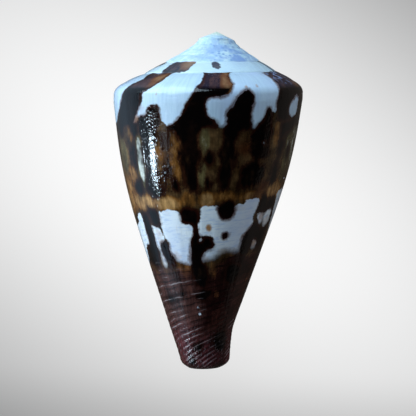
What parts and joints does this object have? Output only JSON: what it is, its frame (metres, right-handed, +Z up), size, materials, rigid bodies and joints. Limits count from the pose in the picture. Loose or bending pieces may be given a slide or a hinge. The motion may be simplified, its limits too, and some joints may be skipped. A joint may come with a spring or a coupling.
{
  "type": "cone shell",
  "caption": "Cone-shaped sea shell with a low stepped spire, rounded shoulder, spiral ridges at the front end and a long narrow opening, lying on its opening",
  "frame": {"origin": "on the surface the shell lies on, under the centre of its bounding box", "axes": "+Z up, +Y along the shell towards its spire, +X to its right seen from above with the spire at the top; the back faces up and the opening down"},
  "size_m": [0.0332, 0.0586, 0.0308],
  "materials": {
    "shell_polish": "glossy"
  },
  "bodies": {
    "root": {"cone_shell": "shell_polish"}
  },
  "joints": []
}
